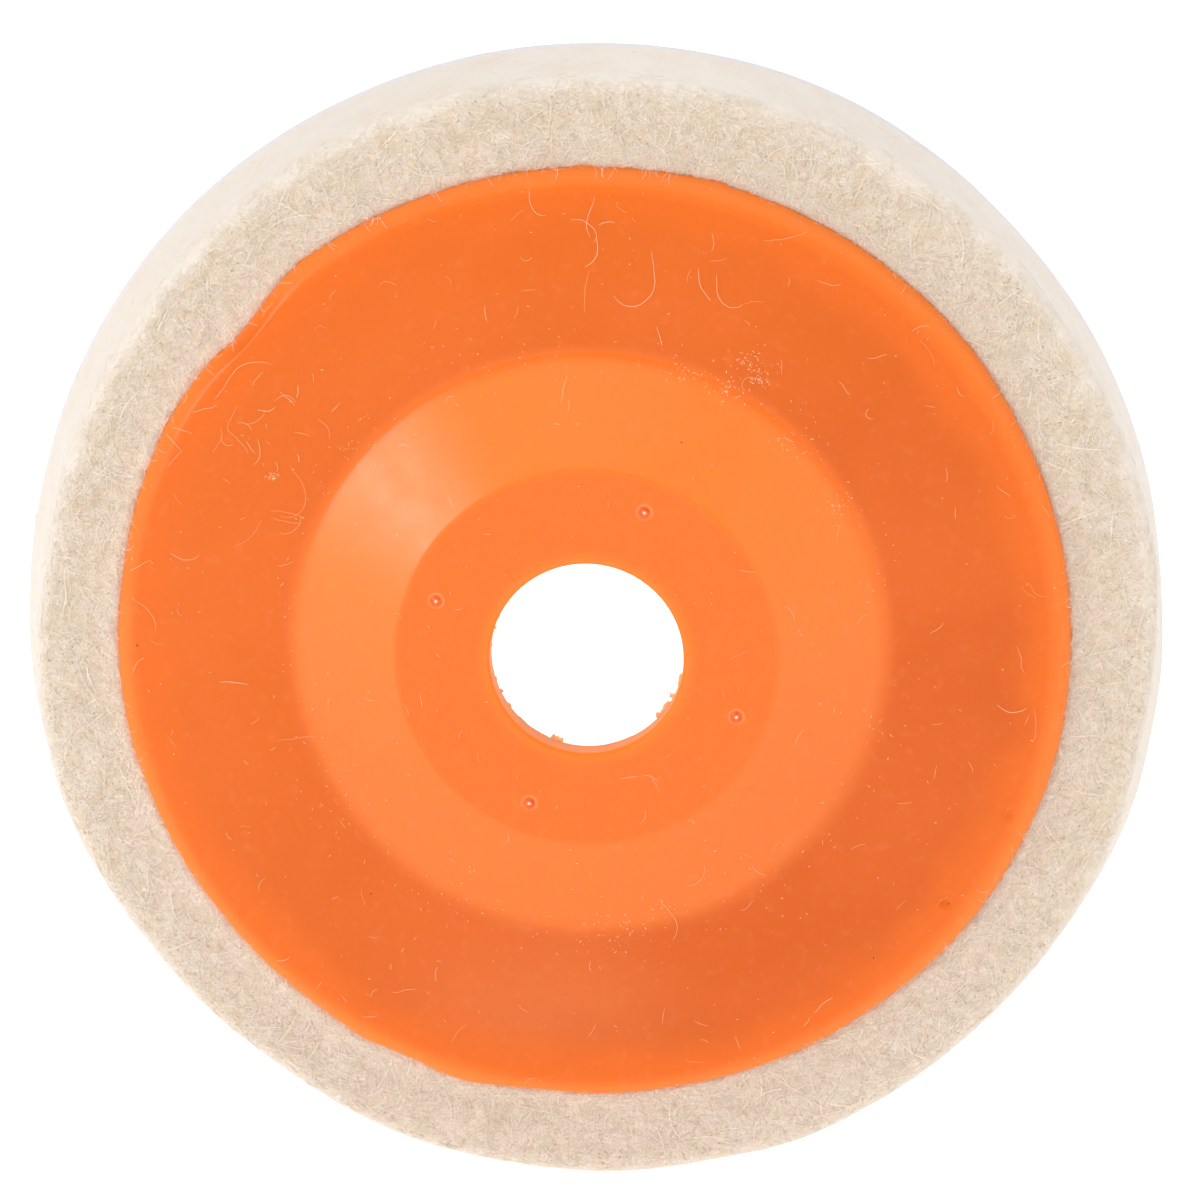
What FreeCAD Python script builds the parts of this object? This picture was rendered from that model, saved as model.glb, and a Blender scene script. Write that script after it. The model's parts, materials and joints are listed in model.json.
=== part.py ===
"""Felt polishing wheel for an angle grinder: a dished plastic backing plate with a ring of wool felt glued to it.

Frame: millimetres, +Z up. The wheel's axis is Y. The origin is where that axis meets the hub's back face, which
seats against the grinder's flange. The back of the wheel faces -Y and the felt's working face faces +Y.
"""
import FreeCAD, Part
import math
import os

# Driving dimensions
WHEEL_OD = 100.0  # the felt at its working face
FELT_BACK_OD = 95.8  # the felt at its back face; the cut wall flares out from here
FELT_ID = 52.0
FELT_THICKNESS = 9.8
BORE_D = 16.2
HUB_FLAT_D = 32.3  # the flat seat around the bore
CONE_BASE_D = 50.2
CONE_HEIGHT = 4.3  # how far the hub stands behind the flange
PLATE_RIM_D = 81.4
PLATE_WALL = 2.35
CROWN_START_D = 62.0  # the flange's back is flat out to here, then falls away gently to the rim
CROWN_DROP = 0.35
RIM_ROUND = 1.8
GLUE_THICKNESS = 0.2
GLUE_MARGIN = 0.5  # how far the glue stops short of the plate's rim

# Small features
BORE_LIP = 0.4
HUB_EDGE_ROUND = 0.5
CONE_BASE_ROUND = 1.5
WELL_FLOOR_ROUND = 0.8
WELL_MOUTH_ROUND = 0.5
FELT_EDGE_ROUND = 0.3
GROOVE_COUNT = 4
GROOVE_WIDTH = 1.0
GROOVE_DEPTH = 0.5
GATE_COUNT = 4
GATE_CIRCLE_D = 27.0
GATE_START_DEG = 69.0
GATE_D = 1.4
GATE_PIP_D = 0.5
GATE_DEPTH = 0.15

# Sizes that follow from them
BORE_R = BORE_D / 2
HUB_FLAT_R = HUB_FLAT_D / 2
CONE_BASE_R = CONE_BASE_D / 2
CROWN_START_R = CROWN_START_D / 2
PLATE_RIM_R = PLATE_RIM_D / 2
RIM_BACK_Y = CONE_HEIGHT + CROWN_DROP
GLUE_FACE_Y = CONE_HEIGHT + PLATE_WALL
FELT_BACK_Y = GLUE_FACE_Y + GLUE_THICKNESS
WORKING_FACE_Y = FELT_BACK_Y + FELT_THICKNESS
CONE_SLOPE = math.atan2(CONE_HEIGHT, CONE_BASE_R - HUB_FLAT_R)
WALL_CORNER_SHIFT = PLATE_WALL * math.tan(CONE_SLOPE / 2)
WELL_FLOOR_R = HUB_FLAT_R - WALL_CORNER_SHIFT
WELL_MOUTH_R = CONE_BASE_R - WALL_CORNER_SHIFT

AXIS = FreeCAD.Vector(0, 1, 0)
CENTRE = FreeCAD.Vector(0, 0, 0)


def revolved(outline):
    """A solid of revolution about Y from a closed outline of (radius, y) corners."""
    corners = [FreeCAD.Vector(radius, y, 0) for radius, y in outline]
    wire = Part.makePolygon(corners + corners[:1])
    return Part.Face(wire).revolve(CENTRE, AXIS, 360)


def washer(inner_r, outer_r, y_from, y_to):
    """A flat ring about Y between two heights."""
    return revolved([(inner_r, y_from), (outer_r, y_from), (outer_r, y_to), (inner_r, y_to)])


def is_ring_edge(edge, radius, y):
    """Whether an edge is the circle about Y with this radius and height."""
    curve = edge.Curve
    if not isinstance(curve, Part.Circle):
        return False
    return abs(curve.Radius - radius) < 1e-4 and abs(curve.Center.y - y) < 1e-4


def rounded(solid, corners):
    """The solid with its circular corners rounded; each corner is (radius of the circle, y, rounding radius)."""
    for radius, y, rounding in corners:
        edges = [edge for edge in solid.Edges if is_ring_edge(edge, radius, y)]
        solid = solid.makeFillet(rounding, edges)
    return solid


def glue_grooves(y_bottom):
    """The concentric keying grooves in the flange's front face, evenly spaced, down to y_bottom."""
    flange_width = PLATE_RIM_R - FELT_ID / 2
    pitch = flange_width / (GROOVE_COUNT + 1)
    rings = []
    for number in range(1, GROOVE_COUNT + 1):
        middle = FELT_ID / 2 + number * pitch
        half = GROOVE_WIDTH / 2
        rings.append(washer(middle - half, middle + half, GLUE_FACE_Y - GROOVE_DEPTH, y_bottom))
    return rings


def gate_marks():
    """The moulding gates' marks: round dimples with a pip left standing in the middle, on the hub's back face."""
    marks = []
    for number in range(GATE_COUNT):
        angle = math.radians(GATE_START_DEG + number * 360 / GATE_COUNT)
        middle = FreeCAD.Vector(math.cos(angle), 0, math.sin(angle)) * (GATE_CIRCLE_D / 2)
        dimple = Part.makeCylinder(GATE_D / 2, GATE_DEPTH, middle, AXIS)
        pip = Part.makeCylinder(GATE_PIP_D / 2, GATE_DEPTH, middle, AXIS)
        marks.append(dimple.cut(pip))
    return marks


def backing_plate():
    """The moulded plate: hub with the bore, cone, and slightly crowned flange with a rounded rim."""
    plate = revolved([
        (BORE_R, 0),
        (HUB_FLAT_R, 0),
        (CONE_BASE_R, CONE_HEIGHT),
        (CROWN_START_R, CONE_HEIGHT),
        (PLATE_RIM_R, RIM_BACK_Y),
        (PLATE_RIM_R, GLUE_FACE_Y),
        (WELL_MOUTH_R, GLUE_FACE_Y),
        (WELL_FLOOR_R, PLATE_WALL),
        (BORE_R, PLATE_WALL),
    ])
    plate = rounded(plate, [
        (BORE_R, 0, BORE_LIP),
        (HUB_FLAT_R, 0, HUB_EDGE_ROUND),
        (CONE_BASE_R, CONE_HEIGHT, CONE_BASE_ROUND),
        (PLATE_RIM_R, RIM_BACK_Y, RIM_ROUND),
        (WELL_MOUTH_R, GLUE_FACE_Y, WELL_MOUTH_ROUND),
        (WELL_FLOOR_R, PLATE_WALL, WELL_FLOOR_ROUND),
    ])
    return plate.cut(glue_grooves(GLUE_FACE_Y) + gate_marks())


def adhesive_layer():
    """The cured glue: a thin ring between plate and felt that also fills the plate's grooves."""
    film = washer(FELT_ID / 2, PLATE_RIM_R - GLUE_MARGIN, GLUE_FACE_Y, FELT_BACK_Y)
    return film.fuse(glue_grooves(FELT_BACK_Y)).removeSplitter()


def felt_ring():
    """The felt: a thick flat ring whose cut outer wall flares out towards the working face."""
    ring = revolved([
        (FELT_ID / 2, FELT_BACK_Y),
        (FELT_BACK_OD / 2, FELT_BACK_Y),
        (WHEEL_OD / 2, WORKING_FACE_Y),
        (FELT_ID / 2, WORKING_FACE_Y),
    ])
    return rounded(ring, [
        (FELT_BACK_OD / 2, FELT_BACK_Y, FELT_EDGE_ROUND),
    ])


def main():
    os.makedirs("parts", exist_ok=True)
    for make in (backing_plate, adhesive_layer, felt_ring):
        shape = make()
        print(make.__name__, "valid:", shape.isValid(), "solids:", len(shape.Solids), "mm3:", round(shape.Volume, 1))
        shape.exportStep("parts/" + make.__name__ + ".step")


main()
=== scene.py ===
import json
import math

import bpy
import numpy as np
from mathutils import Matrix, Vector

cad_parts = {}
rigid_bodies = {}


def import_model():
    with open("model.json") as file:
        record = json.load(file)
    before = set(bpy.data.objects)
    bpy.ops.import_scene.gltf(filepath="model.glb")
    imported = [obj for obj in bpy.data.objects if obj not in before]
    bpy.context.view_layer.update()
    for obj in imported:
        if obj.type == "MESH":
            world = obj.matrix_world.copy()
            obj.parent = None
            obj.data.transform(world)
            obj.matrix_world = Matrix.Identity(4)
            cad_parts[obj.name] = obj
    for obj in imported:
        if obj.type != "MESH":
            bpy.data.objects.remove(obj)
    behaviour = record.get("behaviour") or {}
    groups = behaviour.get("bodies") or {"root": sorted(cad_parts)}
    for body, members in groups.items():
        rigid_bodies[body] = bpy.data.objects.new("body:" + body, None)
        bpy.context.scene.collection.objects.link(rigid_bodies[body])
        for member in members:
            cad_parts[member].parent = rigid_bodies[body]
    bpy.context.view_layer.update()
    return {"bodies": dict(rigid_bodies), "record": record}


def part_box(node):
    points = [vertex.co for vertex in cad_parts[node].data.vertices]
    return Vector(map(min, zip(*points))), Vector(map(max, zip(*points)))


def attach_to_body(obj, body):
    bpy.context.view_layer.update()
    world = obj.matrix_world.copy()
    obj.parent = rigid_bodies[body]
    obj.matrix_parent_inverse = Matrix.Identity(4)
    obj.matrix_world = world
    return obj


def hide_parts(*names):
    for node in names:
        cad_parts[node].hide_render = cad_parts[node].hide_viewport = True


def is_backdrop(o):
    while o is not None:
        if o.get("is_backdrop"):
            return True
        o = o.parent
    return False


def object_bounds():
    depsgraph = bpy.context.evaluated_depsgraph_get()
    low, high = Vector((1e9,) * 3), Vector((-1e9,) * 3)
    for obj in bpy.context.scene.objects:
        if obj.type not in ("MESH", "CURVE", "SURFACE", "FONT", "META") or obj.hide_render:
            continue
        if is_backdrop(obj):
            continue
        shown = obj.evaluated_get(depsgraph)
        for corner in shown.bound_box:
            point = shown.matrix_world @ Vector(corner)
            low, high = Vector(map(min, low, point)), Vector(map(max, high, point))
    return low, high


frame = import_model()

# Looks of a felt polishing wheel: a glossy moulded backing plate, cured glue, and a ring of wool felt with
# its nap. Meshes are worked out in millimetres and stored in metres. Angles run from +X towards +Z, as seen
# from the back.

MM = 0.001
BODY = next(iter(frame["bodies"]))
MOUNTS = {mount["name"]: mount for mount in frame["record"]["mounts"]}

# Sizes read from the frame, in millimetres
BORE_R = MOUNTS["arbor_bore"]["dims"]["r_mm"]
HUB_FRONT_Y = MOUNTS["hub_front_face"]["pos_m"][1] / MM
RIM_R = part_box("backing_plate")[1].x / MM
GLUE_FACE_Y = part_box("backing_plate")[1].y / MM
FELT_BACK_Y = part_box("felt_ring")[0].y / MM
WORKING_FACE_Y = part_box("felt_ring")[1].y / MM
WHEEL_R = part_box("felt_ring")[1].x / MM

# Sizes that the frame's boxes don't show, in millimetres
HUB_FLAT_R = 16.15
CONE_BASE_R = 25.1
CONE_HEIGHT = 4.3
CROWN_START_R = 31.0
CROWN_DROP = 0.35
FELT_INNER_R = 26.0
FELT_BACK_R = 47.9
WALL = GLUE_FACE_Y - CONE_HEIGHT
WALL_SHIFT = WALL * math.tan(math.atan2(CONE_HEIGHT, CONE_BASE_R - HUB_FLAT_R) / 2)
WELL_FLOOR_R = HUB_FLAT_R - WALL_SHIFT
WELL_MOUTH_R = CONE_BASE_R - WALL_SHIFT

ARC_STEP = 0.14  # spacing of the points round a section's rounded corners


# ---------------- mesh helpers

def corner_arc(before, corner, after, rounding, step):
    """Points round one corner of an outline, from the tangent point on the run before it to the one after."""
    if rounding == 0:
        return [corner]
    back = (before - corner) / np.linalg.norm(before - corner)
    on = (after - corner) / np.linalg.norm(after - corner)
    half = math.acos(float(back @ on)) / 2
    middle = corner + (back + on) / np.linalg.norm(back + on) * rounding / math.sin(half)
    first = corner + back * rounding / math.tan(half) - middle
    sweep = math.pi - 2 * half
    turn = math.copysign(sweep, back[1] * on[0] - back[0] * on[1])
    count = max(2, math.ceil(rounding * sweep / step))
    points = []
    for k in range(count + 1):
        c, s = math.cos(turn * k / count), math.sin(turn * k / count)
        points.append(middle + np.array([c * first[0] - s * first[1], s * first[0] + c * first[1]]))
    return points


def rounded_outline(corners):
    """Points round a closed outline. Each corner is (radius, y, rounding, spacing along the run after it)."""
    places = [np.array(corner[:2], float) for corner in corners]
    count = len(corners)
    arcs = [
        corner_arc(places[i - 1], places[i], places[(i + 1) % count], corners[i][2], ARC_STEP)
        for i in range(count)
    ]
    points = []
    for i in range(count):
        start, end = arcs[i][-1], arcs[(i + 1) % count][0]
        steps = max(1, round(float(np.linalg.norm(end - start)) / corners[i][3]))
        points += arcs[i] + [start + (end - start) * k / steps for k in range(1, steps)]
    return np.array(points)


def outline_normals(points):
    """Outward unit normals along a closed outline that runs out along the back and in along the front."""
    along = np.roll(points, -1, axis=0) - np.roll(points, 1, axis=0)
    normals = np.stack([along[:, 1], -along[:, 0]], axis=1)
    return normals / np.linalg.norm(normals, axis=1, keepdims=True)


def make_object(name, points, faces, material, smooth=True):
    """A mesh object from points in millimetres."""
    mesh = bpy.data.meshes.new(name)
    mesh.from_pydata((np.asarray(points) * MM).tolist(), [], np.asarray(faces).tolist())
    mesh.materials.append(material)
    mesh.polygons.foreach_set("use_smooth", [smooth] * len(mesh.polygons))
    mesh.update()
    piece = bpy.data.objects.new(name, mesh)
    bpy.context.scene.collection.objects.link(piece)
    return piece


def set_attribute(piece, name, values):
    """Stores one number for each vertex, for the material to read."""
    attribute = piece.data.attributes.new(name, "FLOAT", "POINT")
    attribute.data.foreach_set("value", np.asarray(values, np.float32).ravel())


def ring_faces(rows, columns):
    """Quads of a surface that closes on itself along its rows and its columns."""
    row, column = np.meshgrid(np.arange(rows), np.arange(columns), indexing="ij")
    next_row, next_column = (row + 1) % rows, (column + 1) % columns
    corners = [(row, column), (next_row, column), (next_row, next_column), (row, next_column)]
    return np.stack([(i * columns + j).ravel() for i, j in corners], axis=1)


def turned(radius, y, angle):
    """Points in space from radius, y and angle about the wheel's axis."""
    return np.stack([radius * np.cos(angle), y + 0 * angle, radius * np.sin(angle)], axis=-1)


def noise_table(seed, size=32):
    return np.random.default_rng(seed).random((size, size, size))


def noise3(points, cell, seed):
    """Smooth noise from -1 to 1 at points in space, with features about one cell wide."""
    table = noise_table(seed)
    size = len(table)
    scaled = np.asarray(points, float) / cell
    low = np.floor(scaled).astype(int)
    part = scaled - low
    part = part * part * (3 - 2 * part)
    total = np.zeros(scaled.shape[:-1])
    for corner in np.ndindex(2, 2, 2):
        weight = np.ones(scaled.shape[:-1])
        for axis in range(3):
            weight = weight * (part[..., axis] if corner[axis] else 1 - part[..., axis])
        i, j, k = ((low[..., axis] + corner[axis]) % size for axis in range(3))
        total += weight * table[i, j, k]
    return 2 * total - 1


def ease(low, high, value):
    """0 below low, 1 above high, and smooth between."""
    t = np.clip((value - low) / (high - low), 0, 1)
    return t * t * (3 - 2 * t)


def angle_from(angle, centre_deg):
    """Signed distance round the circle from an angle in degrees, in radians."""
    return (angle - math.radians(centre_deg) + math.pi) % (2 * math.pi) - math.pi


def bump_at(angle, centre_deg, width_deg):
    """A smooth bell round one angle."""
    return np.exp(-(angle_from(angle, centre_deg) / math.radians(width_deg)) ** 2)


# ---------------- materials

class Nodes:
    """Short ways to add nodes to one material."""

    def __init__(self, name):
        self.material = bpy.data.materials.new(name)
        self.material.use_nodes = True
        self.tree = self.material.node_tree
        self.shader = self.tree.nodes["Principled BSDF"]
        place = self.add("ShaderNodeTexCoord")
        self.position = self.vector("MULTIPLY", place.outputs["Object"], (1 / MM,) * 3)

    def add(self, kind, **settings):
        node = self.tree.nodes.new(kind)
        for key, value in settings.items():
            setattr(node, key, value)
        return node

    def put(self, socket, value):
        if isinstance(value, bpy.types.NodeSocket):
            self.tree.links.new(value, socket)
        else:
            socket.default_value = value

    def math(self, operation, *values, clamp=False):
        node = self.add("ShaderNodeMath", operation=operation, use_clamp=clamp)
        for socket, value in zip(node.inputs, values):
            self.put(socket, value)
        return node.outputs[0]

    def vector(self, operation, *values):
        node = self.add("ShaderNodeVectorMath", operation=operation)
        for socket, value in zip(node.inputs, values):
            self.put(socket, value)
        return node.outputs["Value" if operation in ("LENGTH", "DOT_PRODUCT") else "Vector"]

    def noise(self, scale, detail=3.0, distortion=0.0, offset=(0, 0, 0), stretch=(1, 1, 1)):
        """Noise with scale features per millimetre."""
        node = self.add("ShaderNodeTexNoise")
        moved = self.vector("MULTIPLY", self.vector("ADD", self.position, offset), stretch)
        self.put(node.inputs["Vector"], moved)
        self.put(node.inputs["Scale"], scale)
        self.put(node.inputs["Detail"], detail)
        self.put(node.inputs["Distortion"], distortion)
        return node.outputs["Fac"]

    def range(self, value, from_low, from_high, to_low, to_high, smooth=False):
        node = self.add("ShaderNodeMapRange")
        if smooth:
            node.interpolation_type = "SMOOTHSTEP"
        for socket, given in zip(node.inputs, (value, from_low, from_high, to_low, to_high)):
            self.put(socket, given)
        return node.outputs[0]

    def mix(self, factor, first, second):
        node = self.add("ShaderNodeMix", data_type="RGBA")
        self.put(node.inputs["Factor"], factor)
        colours = [socket for socket in node.inputs if socket.type == "RGBA"]
        self.put(colours[0], first)
        self.put(colours[1], second)
        return next(socket for socket in node.outputs if socket.type == "RGBA")

    def radius(self):
        """Distance from the wheel's axis, in millimetres."""
        return self.vector("LENGTH", self.vector("MULTIPLY", self.position, (1, 0, 1)))

    def attribute(self, name):
        node = self.add("ShaderNodeAttribute", attribute_name=name)
        return node.outputs["Fac"]

    def part(self, axis):
        """One coordinate of the place being shaded, in millimetres."""
        split = self.add("ShaderNodeSeparateXYZ")
        self.put(split.inputs[0], self.position)
        return split.outputs[axis]

    def filaments(self, scale, width, offset, distortion=1.2):
        """Thin winding lines, 1 on a line and 0 off it."""
        wave = self.noise(scale, 1.0, distortion, offset)
        away = self.math("ABSOLUTE", self.math("SUBTRACT", wave, 0.5))
        return self.range(away, 0.0, width, 1.0, 0.0, True)

    def bump(self, height, strength, distance_mm):
        node = self.add("ShaderNodeBump")
        self.put(node.inputs["Height"], height)
        self.put(node.inputs["Strength"], strength)
        self.put(node.inputs["Distance"], distance_mm * MM)
        self.put(self.shader.inputs["Normal"], node.outputs["Normal"])


def colour(red, green, blue):
    """A colour given as it looks on screen, 0 to 255, as the linear numbers that a shader takes."""
    shares = [part / 255 for part in (red, green, blue)]
    linear = [((c + 0.055) / 1.055) ** 2.4 if c > 10 / 255 else c / 12.92 for c in shares]
    return (*linear, 1.0)


HAZE_CENTRE = (-4.0, CONE_HEIGHT, -32.0)  # a paler, hazy patch below the cone
HAZE_SHAPE = (1 / 20, 0.0, 1 / 11)        # one over its half width and half height, in millimetres


def flange_colour(n, radius):
    """The glued flange: painted light makes it lighter at the upper left, in its crown and in a band along
    its rounded rim, with soft clouds.
    """
    # Painted light: the flange's colour grows lighter towards the upper left, where the key light falls.
    painted_light_upper_left = n.math("MULTIPLY", n.math("SUBTRACT", n.part("Z"), n.part("X")), 0.7)
    painted_light_upper_left = n.math("ADD", painted_light_upper_left, n.range(n.noise(0.05, 2.0), 0.3, 0.7, -7.0, 7.0))
    base = n.mix(n.range(painted_light_upper_left, -34.0, 34.0, 0.0, 1.0, True), colour(206, 90, 6), colour(218, 101, 14))
    clouds = n.range(n.noise(0.07, 3.0, 0.8), 0.4, 0.7, 0.0, 0.2)
    base = n.mix(clouds, base, colour(232, 112, 40))
    spot = n.vector("MULTIPLY", n.vector("SUBTRACT", n.position, HAZE_CENTRE), HAZE_SHAPE)
    haze = n.range(n.vector("LENGTH", spot), 0.0, 1.0, 0.3, 0.0, True)
    base = n.mix(haze, base, colour(222, 124, 70))
    # Painted light: the crown is lighter where the flange curves over towards the rim and catches the light.
    crown = n.math("ADD", radius, n.range(n.noise(0.12, 2.0), 0.3, 0.7, -1.2, 1.2))
    base = n.mix(n.range(crown, 34.5, 38.5, 0.0, 1.0, True), base, colour(224, 103, 14))
    # Painted highlight: a brighter band on the rim's rounding, all round.
    return n.mix(n.range(radius, RIM_R - 2.4, RIM_R - 0.4, 0.0, 1.0, True), base, colour(246, 126, 44))


def gate_colour(n, base):
    """Each moulding gate's mark: a pale ring round a deeper disc, with a whitish pip."""
    away = n.attribute("gate")
    halo = n.range(n.math("ABSOLUTE", n.math("SUBTRACT", away, 0.62)), 0.0, 0.2, 0.55, 0.0, True)
    base = n.mix(halo, base, colour(255, 146, 84))
    blotches = n.range(n.noise(3.0, 2.0), 0.35, 0.6, 0.1, 1.0)
    disc = n.math("MULTIPLY", n.range(away, 0.42, 0.54, 1.0, 0.0, True), blotches)
    base = n.mix(disc, base, colour(228, 80, 24))
    return n.mix(n.range(away, 0.08, 0.2, 0.9, 0.0, True), base, colour(255, 214, 184))


def plastic_material():
    """Orange moulded plastic: brighter where light comes through the hub, duller over the glued flange."""
    n = Nodes("orange_plastic")
    radius = n.radius()
    by_bore = n.range(radius, BORE_R, BORE_R + 1.5, 1.0, 0.0, True)
    hub = n.mix(by_bore, colour(239, 107, 8), colour(247, 122, 22))
    # Painted light: the cone's colour is lighter towards its top, where more light falls.
    upper = n.range(n.part("Z"), -14.0, 14.0, 0.0, 1.0, True)
    cone = n.mix(upper, colour(230, 113, 28), colour(254, 126, 40))
    on_cone = n.range(radius, HUB_FLAT_R - 0.5, HUB_FLAT_R + 0.4, 0.0, 1.0, True)
    on_flange = n.range(radius, CONE_BASE_R - 1.2, CONE_BASE_R + 1.2, 0.0, 1.0, True)
    base = n.mix(on_flange, n.mix(on_cone, hub, cone), flange_colour(n, radius))
    bore_wall = n.range(radius, BORE_R + 0.02, BORE_R + 0.12, 1.0, 0.0)
    base = n.mix(bore_wall, base, colour(252, 160, 108))
    scuffs = n.range(n.noise(0.9, 3.0, 0.0, (40, 0, 0)), 0.55, 0.8, 0.0, 0.10)
    base = n.mix(scuffs, base, colour(252, 160, 110))
    n.put(n.shader.inputs["Base Color"], gate_colour(n, base))
    rough = n.range(n.noise(0.35, 3.0), 0.3, 0.7, 0.29, 0.37)
    rough = n.math("ADD", rough, n.range(radius, RIM_R - 1.9, RIM_R - 0.8, 0.0, 0.25, True))
    rough = n.math("ADD", rough, n.range(radius, BORE_R, BORE_R + 0.4, 0.25, 0.0, True))
    n.put(n.shader.inputs["Roughness"], rough)
    n.shader.inputs["Subsurface Weight"].default_value = 0.3
    n.shader.inputs["Subsurface Radius"].default_value = (1.0, 0.4, 0.12)
    n.shader.inputs["Subsurface Scale"].default_value = 1.5 * MM
    sheen = n.range(radius, CONE_BASE_R - 1.0, CONE_BASE_R + 1.5, 0.4, 0.28)
    sheen = n.math("MULTIPLY", sheen, n.range(radius, BORE_R + 0.02, BORE_R + 0.3, 0.25, 1.0))
    n.put(n.shader.inputs["Specular IOR Level"], sheen)
    n.bump(n.noise(0.8, 3.0), 0.08, 0.05)
    return n.material


def burr_material():
    """Thin plastic flash that light comes through: paler than the plate."""
    n = Nodes("pale_flash")
    clouds = n.range(n.noise(2.5, 3.0), 0.3, 0.7, 0.0, 1.0)
    base = n.mix(clouds, colour(255, 216, 164), colour(244, 178, 116))
    n.put(n.shader.inputs["Base Color"], base)
    n.shader.inputs["Roughness"].default_value = 0.5
    n.shader.inputs["Subsurface Weight"].default_value = 0.4
    n.shader.inputs["Subsurface Radius"].default_value = (1.0, 0.5, 0.2)
    n.shader.inputs["Subsurface Scale"].default_value = 0.3 * MM
    return n.material


def matted_tan(n, base, strength):
    """Soft tan patches, a millimetre or two wide, that the wool and its nap share."""
    strength = n.range(n.part("Z"), -42.0, 6.0, strength * 0.3, strength)
    patches = n.range(n.noise(0.55, 2.5, 0.9), 0.44, 0.64, 0.0, 1.0, True)
    patches = n.math("MULTIPLY", patches, strength)
    base = n.mix(patches, base, colour(221, 203, 174))
    knots = n.range(n.noise(1.4, 2.0, 0.6, (5, 30, 0)), 0.62, 0.72, 0.0, 1.0, True)
    return n.mix(n.math("MULTIPLY", knots, strength), base, colour(214, 184, 148))


def on_back(n):
    """1 on the felt's back, fading to 0 down its cut wall."""
    return n.range(n.part("Y"), FELT_BACK_Y + 1.0, FELT_BACK_Y + 2.0, 1.0, 0.0)


def painted_plate_bounce_and_shadow(n, base, strength, tone):
    """Wool beside the plate: painted pink bounce light from the plate that fades outwards, and a painted
    shadow at the rim's foot.
    """
    reach = n.math("ADD", n.radius(), n.noise(0.6, 3.0))
    back = on_back(n)
    # Painted light: the orange plate's pink bounce on the wool, fading outwards.
    glow = n.range(reach, RIM_R + 0.6, RIM_R + 3.6, strength, 0.0, True)
    base = n.mix(n.math("MULTIPLY", glow, back), base, tone)
    # Painted shadow: the warm shade that the rim casts at its foot.
    shade = n.range(reach, RIM_R + 0.3, RIM_R + 0.9, 0.3, 0.0, True)
    return n.mix(n.math("MULTIPLY", shade, back), base, colour(232, 194, 168))


def felt_material():
    """Pressed wool: a cream mat with paler fibres, tan gaps and small dark pores, and a calm cut wall."""
    n = Nodes("wool_felt")
    cut = n.attribute("cut")
    base = matted_tan(n, colour(225, 211, 194), 0.7)
    gaps = n.range(n.noise(1.9, 3.0, 1.2, (21, 0, 7)), 0.36, 0.47, 0.5, 0.0, True)
    base = n.mix(gaps, base, colour(208, 182, 152))
    lines = n.math("MAXIMUM", n.filaments(1.3, 0.022, (3, 0, 0)), n.filaments(2.2, 0.024, (0, 17, 5)))
    lines = n.math("MAXIMUM", lines, n.filaments(0.8, 0.012, (9, 4, 0)))
    base = n.mix(n.math("MULTIPLY", lines, 0.6), base, colour(242, 233, 220))
    pores = n.range(n.noise(3.4, 2.0, 0.4, (0, 0, 50)), 0.29, 0.37, 0.7, 0.0)
    base = n.mix(pores, base, colour(176, 142, 112))
    # Painted bounce light and painted shadow beside the plate's rim.
    base = painted_plate_bounce_and_shadow(n, base, 0.45, colour(232, 210, 190))
    base = n.mix(n.math("MULTIPLY", cut, 0.92), base, cut_wall_colour(n))
    n.put(n.shader.inputs["Base Color"], base)
    n.shader.inputs["Roughness"].default_value = 0.95
    n.shader.inputs["Specular IOR Level"].default_value = 0.15
    n.shader.inputs["Sheen Weight"].default_value = 0.15
    n.shader.inputs["Sheen Roughness"].default_value = 0.6
    height = n.math("ADD", n.math("MULTIPLY", lines, 0.6), n.noise(2.6, 5.0, 0.8))
    height = n.math("MULTIPLY", height, n.range(cut, 0.0, 1.0, 1.0, 0.15))
    n.bump(height, 0.6, 0.2)
    return n.material


def cut_wall_colour(n):
    """The cut wall: near white, with faint tan streaks, painted shade towards the bottom, and a painted cool
    light along its far edge.
    """
    clouds = n.range(n.noise(0.25, 3.0), 0.35, 0.7, 0.0, 0.8)
    calm = n.mix(clouds, colour(241, 233, 225), colour(238, 224, 210))
    # Painted shade: the wall is darker towards the bottom, which faces away from the light.
    lower = n.range(n.part("Z"), -20.0, 15.0, 0.9, 0.0, True)
    calm = n.mix(lower, calm, colour(228, 216, 202))
    upper_left = n.range(n.math("SUBTRACT", n.part("Z"), n.part("X")), 40.0, 64.0, 0.0, 0.45, True)
    calm = n.mix(upper_left, calm, colour(224, 211, 198))
    back = n.range(n.part("Y"), FELT_BACK_Y - 0.1, FELT_BACK_Y + 0.9, 0.0, 1.0, True)
    calm = n.mix(back, colour(229, 219, 207), calm)
    streaks = n.range(n.noise(1.2, 3.0, 0.5, (0, 60, 0), (0.35, 2.2, 0.35)), 0.66, 0.76, 0.0, 0.4)
    calm = n.mix(streaks, calm, colour(228, 204, 168))
    # Painted light: a cool bluish rim of light along the far edge.
    brim = n.range(n.part("Y"), WORKING_FACE_Y - 2.2, WORKING_FACE_Y - 1.0, 0.0, 0.6, True)
    return n.mix(brim, calm, colour(226, 229, 240))


def by_the_edge(n, base):
    """Matted fibres near the cut edge of the upper half take the cut wall's calm tone."""
    reach = n.math("ADD", n.radius(), n.noise(0.5, 2.0))
    fade = n.range(reach, FELT_BACK_R - 2.4, FELT_BACK_R + 0.5, 0.0, 0.8, True)
    upper = n.range(n.part("Z"), -8.0, 17.0, 0.1, 1.0, True)
    fade = n.math("MULTIPLY", fade, n.math("MULTIPLY", upper, on_back(n)))
    return n.mix(fade, base, colour(229, 219, 207))


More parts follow.
